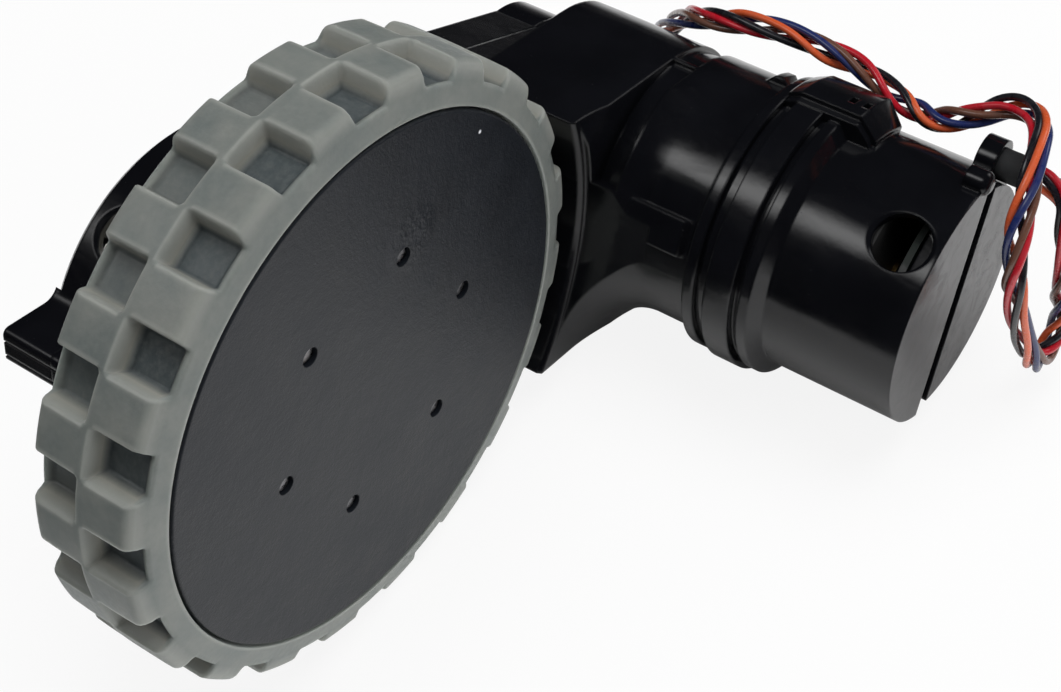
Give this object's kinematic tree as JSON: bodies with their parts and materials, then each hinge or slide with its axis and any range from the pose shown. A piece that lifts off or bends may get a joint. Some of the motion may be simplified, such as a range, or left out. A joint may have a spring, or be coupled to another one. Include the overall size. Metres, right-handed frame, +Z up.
{
  "type": "robot vacuum drive wheel module",
  "caption": "Robot vacuum drive wheel module: treaded rubber wheel on a swing arm gear case, with the motor in the round pivot tube and a coloured wire harness.",
  "frame": {"origin": "on the pivot tube's axis, in the middle of the plain stretch of the journal", "axes": "+Y runs along the pivot and wheel axes, from the wheel's cover and the tube's slotted end towards the gear case; +Z is up with the tyre and the tube's locating ring both on one level surface; the wheel lies towards -X"},
  "size_m": [0.1091, 0.0945, 0.0722],
  "materials": {
    "tread_rubber": "satin",
    "case_plastic": "gloss",
    "hub_plastic": "satin",
    "gear_plastic": "satin",
    "steel": "satin",
    "plated_can": "satin",
    "bronze": "satin",
    "ferrite": "matte",
    "board": "satin",
    "grommet_rubber": "matte",
    "wire_insulation": "satin",
    "plug_nylon": "satin"
  },
  "bodies": {
    "housing": {"front_case": "case_plastic", "rear_case": "case_plastic", "motor_housing": "case_plastic", "end_cover": "case_plastic", "cable_grommet": "grommet_rubber", "motor_can": "plated_can", "motor_end_bell": "ferrite", "motor_bushes": "bronze", "motor_magnets": "ferrite", "motor_terminals": "bronze", "encoder_board": "board", "motor_screws": "steel", "front_bush": "bronze", "rear_bush": "bronze", "gear_pins": "steel", "case_screws": "steel", "harness": "wire_insulation", "harness_plug": "plug_nylon"},
    "wheel": {"tyre": "tread_rubber", "wheel_hub": "hub_plastic", "hub_cover": "hub_plastic", "hub_screws": "steel", "wheel_axle": "steel", "axle_screw": "steel", "output_gear": "gear_plastic"},
    "second_gear": {"second_gear": "gear_plastic"},
    "first_gear": {"first_gear": "gear_plastic"},
    "rotor": {"motor_rotor": "steel", "motor_shaft": "steel", "motor_pinion": "bronze", "encoder_magnet": "ferrite"}
  },
  "joints": [
    {"name": "wheel_spin", "type": "hinge", "parent": "housing", "child": "wheel", "pos_m": [-0.05144, 0.03655, 0.0183], "axis": [0, 1, 0], "continuous": true},
    {"name": "second_gear_spin", "type": "hinge", "parent": "housing", "child": "second_gear", "pos_m": [-0.03155, 0.05195, 0.008], "axis": [0, 1, 0], "continuous": true},
    {"name": "first_gear_spin", "type": "hinge", "parent": "housing", "child": "first_gear", "pos_m": [-0.01527, 0.04845, 0.00386], "axis": [0, 1, 0], "continuous": true},
    {"name": "rotor_spin", "type": "hinge", "parent": "housing", "child": "rotor", "pos_m": [0, 0.02015, 0], "axis": [0, 1, 0], "continuous": true}
  ],
  "couplings": [
    {"joint": "first_gear_spin", "follows": "rotor_spin", "ratio": -0.21154},
    {"joint": "second_gear_spin", "follows": "rotor_spin", "ratio": 0.057692},
    {"joint": "wheel_spin", "follows": "rotor_spin", "ratio": -0.015734}
  ]
}
